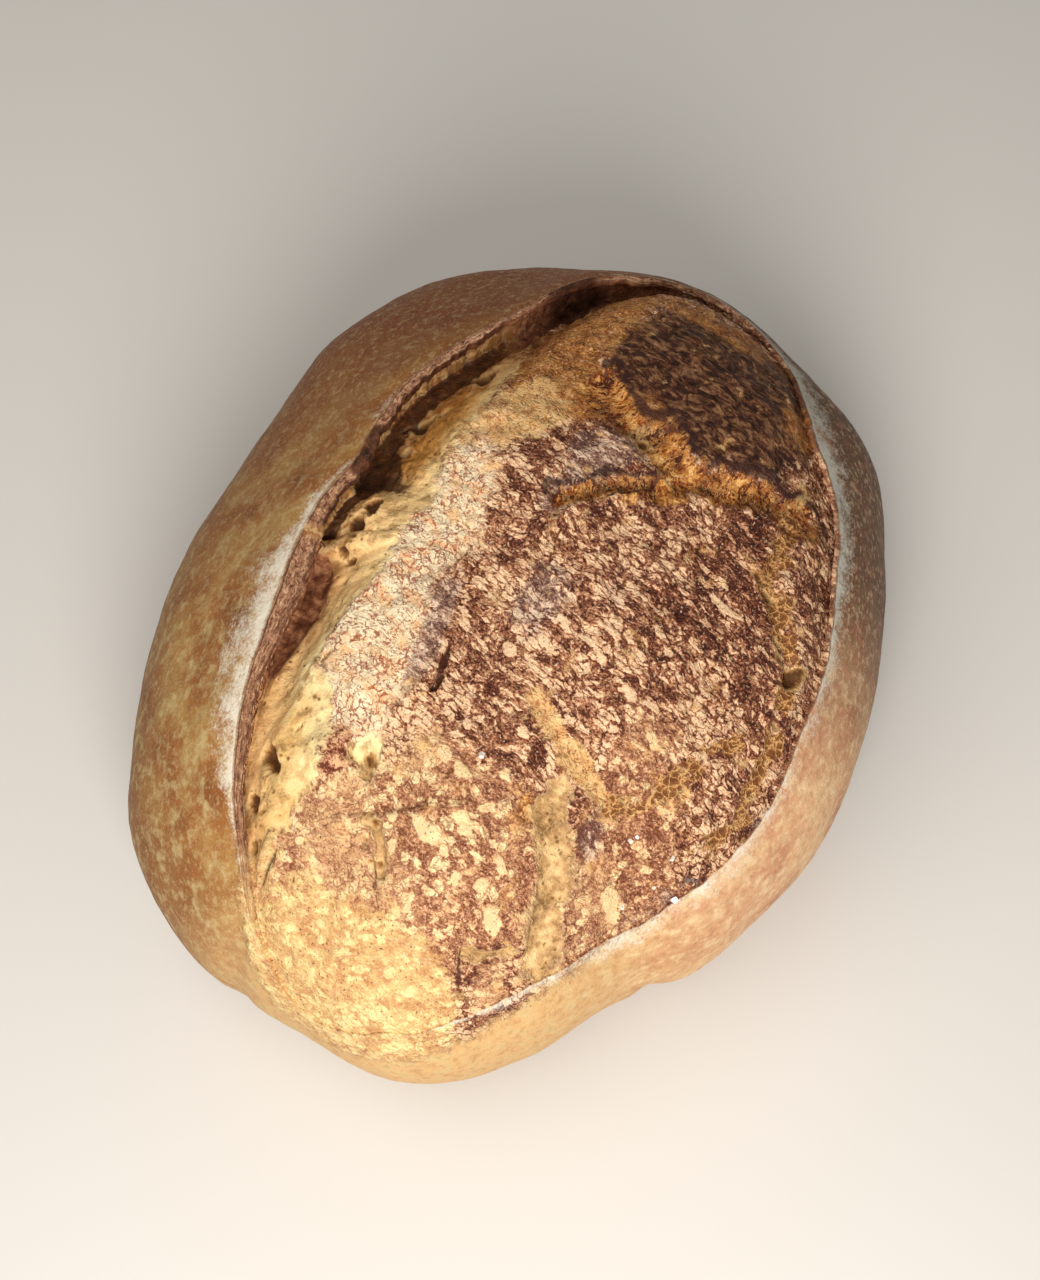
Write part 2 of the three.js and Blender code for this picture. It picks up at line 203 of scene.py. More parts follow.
# Large pale flecks: place, radii, turn in degrees.
FLECKS = [
    (-75.6, -18.1, 5, 2.4, 60), (-69.5, -24.5, 4.4, 2.6, 60), (-76.5, -8.5, 2.8, 2, 60),
    (-84.4, -40.1, 3.8, 3.2, 30), (-80.8, -28.2, 2.2, 1.8, 0), (-79.7, -34.1, 1.9, 1.6, 0),
    (-92.4, -22, 1.8, 1.6, 0), (-78.2, -23.9, 1.8, 1.6, 0), (-72.9, -36.4, 2.4, 1.4, 60),
    (-69.9, -32.4, 2.4, 1.4, 70), (-63.7, -63.1, 3.4, 2.8, 20), (-18.2, -33.1, 2.8, 1.3, 80),
    (-15.5, -27.8, 3.4, 1.4, 80), (-21.3, -42.7, 3.8, 1.5, 80), (-20.9, -49.7, 3.2, 1.3, 80),
    (13.2, -53.3, 5.2, 1.7, 75), (-23.1, -65.8, 2.8, 2, 30), (-28.1, -53.8, 2.4, 1.2, 80),
    (-20.5, -19.1, 3.4, 1.8, 70), (-10.1, -32, 4, 1.3, 80), (-27.4, -12.9, 2.8, 1.6, 70),
    (-13.5, -20.9, 3.2, 1.3, 80), (-83, -11.5, 1.8, 1.6, 0), (-58, -12, 3, 1.8, 60), (-60, -18, 3.4, 1.8, 70),
    (-49, -14, 2.8, 1.6, 60), (-43, -25, 2.8, 1.4, 70),
]

# At every 15 degrees from +X: how far the flour reaches down the skin from its torn edge, how much of it
# lies on the bloom beside that edge, and how far the golden bloom runs on into the skin.
FLOUR = [
    3, 2, 1.8, 2, 2.2, 2.5, 3, 7, 14, 22, 16, 3,
    0.5, 0.5, 5, 10, 11, 9, 8, 9, 10, 13, 17, 12,
]
SPILL = [*[0] * 14, 0.2, 0.35, 0.4, 0.3, 0.2, 0.2, 0.2, 0.2, 0, 0]
MERGE = [*[0] * 11, 0.4, 1, 1, 0.7, 0.4, 0.3, 0.2, *[0] * 6]

# Coarse salt on the bloom: place, length and turn in degrees.
SALT = [
    (-54.5, -20.1, 1.1, 20), (-49.1, -60.6, 1.1, 50), (-46.3, -71.4, 1, 10), (-52.3, -75.1, 1.8, 75),
    (-62.1, -65.8, 1, 35), (-47.6, -62, 0.7, 80), (-53.8, -70.4, 0.7, 0),
]

# ---- Mesh density ----

GRID = 220
AROUND = 4 * GRID
EAR_ROWS = 18
CRUST_ROWS = 30
FOOT_ROWS = 9
MAP_SPAN = 750  # millimetres across the whole map

# Values with a meaning of their own in what is noted of each point.
ARC = 60  # millimetres along the ear for each radian of bearing
FAR_DOWN = 60  # the distance from the lip given to the foot
ON_WALL = -5  # the inward distance given to the ear's wall

# ---- Noise ----

DRAW = np.random.default_rng(11)
HASH = DRAW.permutation(256)
SLOPES = DRAW.normal(size=(256, 3))
SLOPES /= np.linalg.norm(SLOPES, axis=1)[:, None]
JITTER = DRAW.random((256, 3))


def hashed(cell):
    first = HASH[cell[:, 0] & 255]
    second = HASH[(first + cell[:, 1]) & 255]
    return HASH[(second + cell[:, 2]) & 255]


def noise(points, size, seed=0):
    """Smooth noise between about -1 and 1, with lumps of the given size."""
    places = points / size + 17.3 * seed
    cell = np.floor(places).astype(int)
    inside = places - cell
    ease = inside**3 * (inside * (inside * 6 - 15) + 10)
    total = np.zeros(len(points))
    for corner in itertools.product((0, 1), repeat=3):
        slope = SLOPES[hashed(cell + corner)]
        weight = np.prod(np.where(corner, ease, 1 - ease), axis=1)
        total += weight * ((inside - corner) * slope).sum(axis=1)
    return 1.9 * total


def cell_walls(points, size, seed=0):
    """How far each point is from the wall between two scattered cells, in cell sizes."""
    places = points / size + 5.7 * seed
    cell = np.floor(places).astype(int)
    nearest = np.full(len(points), 9.0)
    second = nearest.copy()
    for step in itertools.product((-1, 0, 1), repeat=3):
        seat = cell + step
        away = np.linalg.norm(seat + JITTER[hashed(seat)] - places, axis=1)
        second = np.minimum(second, np.maximum(nearest, away))
        nearest = np.minimum(nearest, away)
    return second - nearest


def smooth(low, high, x):
    t = np.clip((x - low) / (high - low), 0, 1)
    return t * t * (3 - 2 * t)


def bell(x):
    return np.exp(-x * x)


def mix(ends, t):
    return ends[0] + (ends[1] - ends[0]) * t


# ---- The loaf's surface ----


def around(values, bearing):
    """The closed Catmull-Rom curve through values at equal steps round the loaf."""
    count = len(values)
    place = (bearing / math.tau) % 1 * count
    i = np.floor(place).astype(int)
    f = place - i
    a, b, c, d = (np.array(values)[(i + k) % count] for k in (-1, 0, 1, 2))
    square = 2 * a - 5 * b + 4 * c - d
    cube = 3 * b - a - 3 * c + d
    return 0.5 * (2 * b + (c - a) * f + square * f**2 + cube * f**3)


def dome_height(share):
    left = np.maximum(0, 1 - np.minimum(share, 1) ** DOME_ROUND)
    return WAIST_HEIGHT + (CROWN_HEIGHT - WAIST_HEIGHT) * left ** (1 / DOME_FULL)


def polar(bearing, radius, z):
    return np.stack([radius * np.cos(bearing), radius * np.sin(bearing), z + 0 * radius], axis=1)


def low_waves(p):
    x, y, z = p.T
    return (
        0.9 * np.sin(x / 19 + 1.3) * np.sin(y / 23 - 0.4)
        + 0.7 * np.sin(x / 11 - y / 14 + z / 17)
        + 0.5 * np.sin(y / 8.5 + x / 21 + 2.1) * np.sin(z / 13 + 0.7)
    )


def ear_section(bearing):
    """The places that shape the ear at each bearing."""
    ear = np.clip(around(EAR, bearing), 0, 1)
    outline = around(OUTLINE, bearing)
    lip_r = around(BLOOM_EDGE, bearing)
    rim = polar(bearing, lip_r, 0 * lip_r)
    lip_r = lip_r + 0.35 * noise(rim, 9, 1) + 0.2 * noise(rim, 2.6, 2)
    degrees = np.degrees(bearing) % 360
    bridge = np.max([share * bell(((degrees - at) / half) ** 2) for at, half, share in BRIDGES], axis=0)
    closing = 1 - 0.75 * smooth(137, 148, degrees) * (degrees < 200)
    hollow = ear * closing * (1 - 0.85 * bridge)
    ragged = 0.7 * noise(rim, 8, 3) + 0.55 * noise(rim, 2.4, 4) + 0.35 * noise(rim, 0.9, 5)
    strip = np.maximum(around(STRIP, bearing) + ear * ragged, 0.5)
    edge_r = lip_r - strip
    lip_z = dome_height(lip_r / outline) + EAR_LIFT * ear
    edge_z = lip_z - 0.4 * strip + 0.4 * ear * noise(rim, 3.1, 6)
    under_z = edge_z - mix(EAR_THICK, hollow)
    floor_r = edge_r + mix(HOLLOW_REACH, hollow) + 0.2
    floor_z = dome_height(floor_r / outline) - mix(HOLLOW_DEPTH, ear) * (1 - 0.6 * bridge)
    return SimpleNamespace(
        ear=ear, outline=outline, hollow=hollow, bridge=bridge, strip=strip, lip=(lip_r, lip_z),
        edge=(edge_r, edge_z), under=(edge_r + 0.5, under_z), floor=(floor_r, floor_z),
        back=(floor_r + 0.6, (floor_z + under_z) / 2), torn=bell((degrees - BRIDGES[0][0]) / 2.2),
        dark=np.maximum(around(DARK, bearing) * (1 - bridge), 0.6),
    )


def bloom_points(bearing, reach):
    """The bloom's plain surface, and how far in from the torn edge each point lies."""
    s = ear_section(bearing)
    radius = s.floor[0] * reach
    inward = s.edge[0] - radius
    depth = mix(HOLLOW_DEPTH, s.ear) * (1 - 0.6 * s.bridge)
    sunk = depth * (1 - smooth(0, mix(HOLLOW_SLOPE, s.ear), inward))
    return polar(bearing, radius, dome_height(radius / s.outline) - sunk), inward, s


def ear_points(bearing, climb):
    s = ear_section(bearing)
    corners = [s.floor, s.back, s.under, s.edge, s.lip]
    place = climb * (len(corners) - 1)
    i = min(int(place), len(corners) - 2)
    f = place - i
    radius, z = (corners[i][k] * (1 - f) + corners[i + 1][k] * f for k in (0, 1))
    return polar(bearing, radius, z), s


def crust_points(bearing, drop):
    s = ear_section(bearing)
    start = np.arcsin(np.minimum(s.lip[0] / s.outline, 1) ** (DOME_ROUND / 2))
    angle = start + (math.pi / 2 - start) * drop
    radius = s.outline * np.sin(angle) ** (2 / DOME_ROUND)
    dome = dome_height(radius / s.outline)
    away = np.hypot(radius - s.lip[0], dome_height(s.lip[0] / s.outline) - dome)
    return polar(bearing, radius, dome + EAR_LIFT * s.ear * bell(away / EAR_REACH)), away


def foot_points(bearing, drop):
    angle = drop * math.pi / 2
    radius = around(OUTLINE, bearing) * mix((BASE_SHARE, 1), math.cos(angle))
    return polar(bearing, radius, WAIST_HEIGHT * (1 - math.sin(angle)) + 0 * radius)


def weathered(p, bearing, held):
    """Points of the crust moved in or out by the low waves and the creases."""
    outline = around(OUTLINE, bearing)
    crease = np.zeros(len(p))
    for degrees, half, depth, low, high in CREASES:
        turn = bearing - math.radians(degrees)
        aside = outline * np.arctan2(np.sin(turn), np.cos(turn))
        tall = smooth(low, low + 11, p[:, 2]) * (1 - smooth(high - 12, high, p[:, 2]))
        crease = np.maximum(crease, depth * bell(aside / half) * tall)
    out = held * (0.45 * low_waves(p) - crease)
    return p + polar(bearing, out, 0 * out)


def from_route(x, y, route):
    """Distance to a route, the distance along it to the nearest place, and the side."""
    best = np.full(len(x), 1e9)
    along = np.zeros(len(x))
    side = np.zeros(len(x))
    walked = 0.0
    for (ax, ay), (bx, by) in zip(route, route[1:]):
        dx, dy = bx - ax, by - ay
        length = math.hypot(dx, dy)
        t = np.clip(((x - ax) * dx + (y - ay) * dy) / length**2, 0, 1)
        away = np.hypot(x - ax - t * dx, y - ay - t * dy)
        closer = away < best
        best = np.where(closer, away, best)
        along = np.where(closer, walked + t * length, along)
        side = np.where(closer, ((x - ax) * dy - (y - ay) * dx) / length, side)
        walked += length
    return best, along, side


def patches(x, y, spots):
    total = np.zeros(len(x))
    for at_x, at_y, wide, deep, strength in spots:
        total += strength * bell(np.hypot((x - at_x) / wide, (y - at_y) / deep))
    return total


# ---- Building the surface ----


def grid_places():
    """Bearing and reach of each point of the bloom's grid."""
    steps = 2 * np.arange(GRID + 1) / GRID - 1
    a, b = (v.ravel() for v in np.meshgrid(steps, steps, indexing="ij"))
    reach = np.maximum(np.abs(a), np.abs(b))
    wide = np.abs(a) >= np.abs(b)
    with np.errstate(divide="ignore", invalid="ignore"):
        east_west = np.where(a > 0, 0, math.pi) + math.pi / 4 * b / a
        north_south = np.where(b > 0, math.pi / 2, -math.pi / 2) - math.pi / 4 * a / b
    bearing = np.where(wide, east_west, north_south)
    bearing[reach == 0] = 0
    return bearing, reach


def gathered(notes):
    """Each fact over all the points, from notes that say how many points they hold for."""
    names = {name for _, given in notes for name in given}
    rows = {name: [given.get(name, 0) + np.zeros(size) for size, given in notes] for name in names}
    return SimpleNamespace(**{name: np.concatenate(row) for name, row in rows.items()})


def loaf_surface():
    """Points, quads, triangles, the map and what is known of each point."""
    bearing, reach = grid_places()
    bloom, inward, s = bloom_points(bearing, reach)
    # Painted shade beside the torn edge, fading out over the width given in DARK.
    shade = 1 - smooth(0.4, 1.2, (inward + 1.1 * noise(bloom, 4, 51)) / s.dark)
    known = dict(
        under=smooth(0.1, 0.5, s.hollow) * shade, dark=s.dark, inward=inward, ear=s.ear, torn=s.torn,
        slope=mix(HOLLOW_SLOPE, s.ear), along=bearing * ARC, shut=1 - s.hollow,
    )
    notes = [(len(bloom), known)]
    points = [bloom]

    n = np.arange(GRID)
    corner = n[:, None] * (GRID + 1) + n[None, :]
    quads = [np.stack([corner, corner + GRID + 1, corner + GRID + 2, corner + 1], axis=-1).reshape(-1, 4)]
    east = (GRID * (GRID + 1)) + n
    ring = np.concatenate([n * (GRID + 1), east, (GRID - n) * (GRID + 1) + GRID, GRID - n])
    turn = bearing[ring]
    count = len(bloom)
    spacing = np.arange(AROUND) / AROUND

    grid_map = np.stack([corner // (GRID + 1), corner % (GRID + 1)], axis=-1).reshape(-1, 2)
    offsets = np.array([(0, 0), (1, 0), (1, 1), (0, 1)])
    maps = [(grid_map[:, None] + offsets) / GRID * 0.70 + (0.01, 0.29)]

    walked = 0.0
    last = bloom[ring]

    def add_ring(p, **given):
        nonlocal ring, count, walked, last
        fresh = count + np.arange(AROUND)
        after = np.roll(np.arange(AROUND), -1)
        quads.append(np.stack([ring, fresh, fresh[after], ring[after]], axis=1))
        step = np.linalg.norm(p - last, axis=1).mean() / MAP_SPAN
        u = np.stack([spacing, spacing, spacing + 1 / AROUND, spacing + 1 / AROUND], axis=1)
        v = np.array([walked, walked + step, walked + step, walked])
        maps.append(np.stack([0.005 + 0.99 * u, 0.005 + np.tile(v, (AROUND, 1))], axis=-1))
        walked += step
        points.append(p)
        notes.append((AROUND, dict(given, along=turn * ARC)))
        ring, count, last = fresh, count + AROUND, p

    for row in range(1, EAR_ROWS + 1):
        climb = row / EAR_ROWS
        p, s = ear_points(turn, climb)
        across = np.clip((climb - 0.75) / 0.25, 0, 1)
        # On the ear's rows below the strip, under is painted shade in the hollow.
        add_ring(
            p, strip=smooth(0.72, 0.77, climb), under=s.hollow * (1 - smooth(0.72, 0.77, climb)),
            ear=s.ear, lane=across * s.strip, rise=across, inward=ON_WALL, torn=s.torn, wall=climb,
            slope=mix(HOLLOW_SLOPE, s.ear),
        )
    for row in range(1, CRUST_ROWS + 1):
        drop = (row / CRUST_ROWS) ** 1.25
        p, away = crust_points(turn, drop)
        p = weathered(p, turn, smooth(0, 0.5, drop))
        add_ring(p, skin=1, lip=away, ear=s.ear)
    for row in range(1, FOOT_ROWS + 1):
        p = weathered(foot_points(turn, row / FOOT_ROWS), turn, 1)
        add_ring(p, skin=1, lip=FAR_DOWN)

    points.append(np.zeros((1, 3)))
    notes.append((1, dict(skin=1, lip=FAR_DOWN)))
    after = np.roll(ring, -1)
    fan = np.stack([ring, np.full(AROUND, count), after], axis=1)
    flat = last[:, :2] / 250 * 0.24 + (0.86, 0.5)
    middle = np.tile((0.86, 0.5), (AROUND, 1))
    fan_map = np.stack([flat, middle, np.roll(flat, -1, axis=0)], axis=1)
    return (
        np.concatenate(points), np.concatenate(quads), fan, np.concatenate(maps), fan_map,
        gathered(notes),
    )


def normals_of(points, quads, fan):
    triangles = np.concatenate([quads[:, :3], quads[:, [0, 2, 3]], fan])
    a, b, c = (points[triangles[:, k]] for k in range(3))
    faces = np.cross(b - a, c - a)
    total = np.zeros_like(points)
    for k in range(3):
        np.add.at(total, triangles[:, k], faces)
    return total / np.maximum(np.linalg.norm(total, axis=1), 1e-9)[:, None]


def wander(points, seed):
    """How far the edges of seams and patches stray."""
    wide = 2.4 * noise(points, 9, seed)
    return wide + noise(points, 3, seed + 1) + 0.5 * noise(points, 1.3, seed + 2)


def dressed(points, normals, at):
    """The relief of bloom, ear and crust, and the soft patches that the material breaks up."""
    x, y, _ = points.T
    torn = (1 - at.skin) * (1 - smooth(0.2, 0.8, at.strip))
    bloom = torn * (at.inward > ON_WALL)
    open_share = smooth(0.5, 7, at.inward) * bloom
    drift, drift_y = wander(points, 21), wander(points, 24)
    wx, wy = x + 0.5 * drift, y + 0.5 * drift_y
    slope = at.inward / np.maximum(at.slope, 1)
    bearing = np.arctan2(y, x)
    degrees = np.degrees(bearing)
    full_turn = degrees % 360
    crumb = (1 - smooth(0.35, 1.15, slope)) * smooth(0.25, 0.6, at.ear)
    crumb = crumb * smooth(18, 46, full_turn) * bloom
    crumb = np.maximum(crumb, np.clip(patches(wx, wy, CRUMB), 0, 1) * bloom)
    # On the far side the crumb hangs from under the ear, and only its top edge gets painted deep shade.
    far_side = smooth(118, 108, degrees) * smooth(18, 46, degrees)
    crumb = np.maximum(crumb, torn * (at.wall > 0) * far_side)

    relief = low_waves(points * (1, 1, 0)) + patches(x, y, [(a, b, r, r, h) for a, b, r, h in SWELLINGS])
    looks = {name: np.zeros(len(x)) for name in ("net", "pale", "dim", "fibre_along", "fibre_across")}
    looks["amber"] = patches(wx, wy, AMBER) * 0.8
    looks["glow"] = patches(wx, wy, GLOW)
    deepest = np.zeros(len(x))
    for half, depth, look, route in SEAMS:
        away, along, side = from_route(wx, wy, route)
        share = away / (half * (1 + 0.4 * noise(points, 11, 27))) + 0.25 * noise(points, 2.8, 28)
        floor = 1 - smooth(0.3, 1.05, share)
        inner = floor > deepest
        deepest = np.maximum(deepest, floor)
        near = share < 1.5
        looks["fibre_along"] = np.where(near, along, looks["fibre_along"])
        looks["fibre_across"] = np.where(near, side, looks["fibre_across"])
        relief = relief - depth * floor * inner + 0.14 * depth * bell((share - 1.25) / 0.25)
        looks[look] = np.maximum(looks[look], np.clip(1.5 - share, 0, 1))
        # A painted shadow along the amber seam's edge on the plate's side.
        if look == "amber":
            looks["dim"] = np.maximum(looks["dim"], bell((share - 1.35) / 0.35) * smooth(0.5, -1.5, side))
    crack = np.zeros(len(x))
    for half, depth, route in CRACKS:
        away, along, _ = from_route(x + 0.22 * drift, y + 0.22 * drift_y, route)
        taper = np.sin(math.pi * np.clip(along / along.max(), 0.04, 0.96)) ** 0.6
        line = 1 - smooth(0.4, 1, away / (half * taper * (1 + 0.7 * noise(points, 2.2, 46))))
        relief = relief - depth * line
        crack = np.maximum(crack, line * min(1, half / 1.1))
    for half, height, route in FOLDS:
        away, _, _ = from_route(x + 0.2 * drift, y + 0.2 * drift_y, route)
        relief = relief + height * bell(away / half)
    relief = relief * open_share

    blister = smooth(0, 0.22, cell_walls(points * (1, 0.6, 1), 5.5, 31)) - 0.7
    crag = 0.5 * noise(points, 6, 32) + 0.34 * noise(points, 2.6, 33) + 0.3 * blister
    crag += 0.3 * np.abs(noise(points * (1, 0.45, 0.7), 3.2, 34))
    soft = 0.5 * noise(points, 5, 35) + 0.14 * noise(points, 2.2, 36)
    web = 1 - smooth(0, 0.3, cell_walls(points, 4.2, 37))
    soft += 0.3 * web * smooth(-0.2, 0.5, noise(points, 8, 38))
    rough = crag * (1 - crumb) * (1 - deepest) + soft * np.maximum(crumb, deepest)
    relief += rough * smooth(-3, 2, at.inward) * bloom
    cave = np.maximum(at.dark - 2, 0)
    relief -= 0.6 * cave * bloom * bell(np.maximum(at.inward - 1, 0) / (cave + 0.5))
    grain = np.stack([at.along / 7, at.lane / 0.9, points[:, 2] / 6], axis=1)
    relief += at.strip * at.ear * 0.14 * noise(grain, 1, 40)
    edge_fade = smooth(0, 3, at.lip) * smooth(0, 2, points[:, 2])
    relief += at.skin * edge_fade * (0.3 * noise(points, 13, 41) + 0.1 * noise(points, 4, 42))

    cup = np.zeros(len(x))
    for at_x, at_y, radius, depth in BUBBLES:
        near = (np.hypot(x - at_x, y - at_y) < 3 * radius + 4) & (bloom > 0.5)
        if not near.any():
            continue
        seat = points[near][np.argmin(np.hypot(x[near] - at_x, y[near] - at_y))]
        away = np.linalg.norm(points[near] - seat, axis=1) / radius
        uneven = 1 + 0.6 * noise(points[near], 1.3 * radius, 43)
        away = away * (uneven + 0.25 * noise(points[near], 0.6 * radius, 45))
        relief[near] -= 0.8 * depth * (1 - smooth(0.2, 1.1, away))
        cup[near] = np.maximum(cup[near], np.clip(1.5 - away, 0, 1.5) * np.clip(radius / 2.6, 0.55, 1))

    fleck = np.zeros(len(x))
    for at_x, at_y, long, short, turn in FLECKS:
        c, s = math.cos(math.radians(turn)), math.sin(math.radians(turn))
        u, v = (wx - at_x) * c + (wy - at_y) * s, (wy - at_y) * c - (wx - at_x) * s
        fleck = np.maximum(fleck, np.clip(1.5 - np.hypot(u / long, v / short), 0, 1))
    relief += 0.3 * smooth(0.3, 0.7, fleck) * open_share
    reach = around(FLOUR, bearing) * (1 + 0.3 * noise(points, 14, 44))
    flour = np.where(
        at.skin > 0.5, 1 - at.lip / np.maximum(reach, 0.5),
        np.clip(1 - np.maximum(at.inward, 0) / 4, 0, 1) * around(SPILL, bearing),
    )
    flour = flour * (1 - 0.22 * smooth(200, 218, full_turn) * smooth(300, 265, full_turn))
    merge = around(MERGE, bearing)
    for name, spots in PATCHES.items():
        looks[name] = np.clip(patches(wx, wy, spots), 0, 1.2)
    looks["charred"] *= 1 - at.skin
    # Painted shade on the far side: the hollow's wall and the crumb just under the strip take the char
    # colour.
    face = smooth(0.25, 0.5, at.wall) * (at.wall < 0.8)
    shaded = bloom * smooth(3.6, 0.8, at.inward)
    looks["charred"] = np.maximum(looks["charred"], far_side * np.maximum(0.8 * face, 0.9 * shaded))
    # Where the hollow is shut, the crumb is given less painted shade.
    less_shade_where_shut = 0.3 * at.shut * smooth(0.3, 0.7, at.ear) * smooth(120, 130, degrees)
    looks.update(
        skin=at.skin, lip=at.lip,
        slope=np.where(bloom > 0, slope + less_shade_where_shut, 0),
        strip=at.strip * smooth(0.1, 0.4, at.ear) * (1 - at.torn),
        seat=at.strip * (1 - smooth(0.1, 0.4, at.ear)) * np.clip(1 - 1.6 * merge, 0, 1),
        # hollow: painted shade in the hollow; on the far side the char colour mostly paints it instead.
        hollow=np.clip(at.under * (1 - far_side * smooth(0.5, 0.3, at.wall)), 0, 1),
        crumb=np.maximum(crumb, at.torn * at.strip),
        crack=crack * open_share, cup=cup, tone=patches(wx, wy, LIGHTER) - patches(wx, wy, DARKER),
        fleck=fleck * bloom, along=at.along, lane=at.lane, rise=at.rise,
        flour=np.clip(flour, 0, 1), merge=at.skin * (1.2 * merge - at.lip / 16),
    )
    return points + normals * relief[:, None], looks


def add_object(name, data):
    made = bpy.data.objects.new(name, data)
    bpy.context.scene.collection.objects.link(made)
    return made


def loaf_object():
    points, quads, fan, maps, fan_map, facts = loaf_surface()
    points, looks = dressed(points, normals_of(points, quads, fan), facts)
    points[:, :2] -= CENTRE
    points[:, 2] = np.maximum(points[:, 2], 0)
    mesh = bpy.data.meshes.new("loaf_crust")
    mesh.from_pydata((points / 1000).tolist(), [], quads.tolist() + fan.tolist())
    mesh.shade_smooth()
    for name, values in looks.items():
        layer = mesh.attributes.new(name, "FLOAT", "POINT")
        layer.data.foreach_set("value", values.astype(np.float32))
    layer = mesh.uv_layers.new(name="OFBake")
    flat = np.concatenate([maps.reshape(-1, 2), fan_map.reshape(-1, 2)])
    layer.data.foreach_set("uv", flat.astype(np.float32).ravel())
    mesh.validate()
    return add_object("loaf_crust", mesh)


def salt_object(loaf):
    """Crystals, each a worn box pressed a little into the crust."""
    spots = np.zeros(3 * len(loaf.data.vertices))
    loaf.data.vertices.foreach_get("co", spots)
    spots = spots.reshape(-1, 3)
    spots = spots[spots[:, 2] > 0.05]
    whole = bmesh.new()
    for at_x, at_y, size, turn in SALT:
        plan = (np.array([at_x, at_y]) - CENTRE) / 1000
        seat = spots[np.argmin(np.hypot(*(spots[:, :2] - plan).T))]
        tilt = (DRAW.uniform(-0.5, 0.5), DRAW.uniform(-0.5, 0.5), math.radians(turn))
        lean = Euler(tilt).to_matrix().to_4x4()
        shape = Matrix.Diagonal((size * 1.4 / 1000, size / 1000, size * 0.8 / 1000, 1))
        sit = Matrix.Translation(seat + (0, 0, 0.0002 * size)) @ lean @ shape
        corners = bmesh.ops.create_cube(whole, size=1.0, matrix=sit)["verts"]
        for corner in corners:
            corner.co += Vector(DRAW.uniform(-0.00018, 0.00018, 3))
    bmesh.ops.bevel(whole, geom=whole.edges[:], offset=0.00012, segments=2, affect="EDGES")
    mesh = bpy.data.meshes.new("salt_grains")
    whole.to_mesh(mesh)
    whole.free()
    return add_object("salt_grains", mesh)


# ---- Materials ----


def colour(code):
    """A linear colour from the usual six hexadecimal digits."""
    levels = [v / 255 for v in bytes.fromhex(code)]
    return (*(v / 12.92 if v <= 0.04045 else ((v + 0.055) / 1.055) ** 2.4 for v in levels), 1.0)


class Wave:
    """What comes out of a node. It adds, subtracts and multiplies as a number does."""

    def __init__(self, graph, socket):
        self.graph = graph
        self.socket = socket

    def __add__(self, other):
        return self.graph.math("ADD", self, other)

    def __sub__(self, other):
        return self.graph.math("SUBTRACT", self, other)

    def __rsub__(self, other):
        return self.graph.math("SUBTRACT", other, self)

    def __mul__(self, other):
        return self.graph.math("MULTIPLY", self, other)

    def coat(self, share, tint, mode="MIX"):
        """This colour with a tint laid over a share of it."""
        return self.graph.blend(share, self, tint, mode)

    __radd__ = __add__
    __rmul__ = __mul__


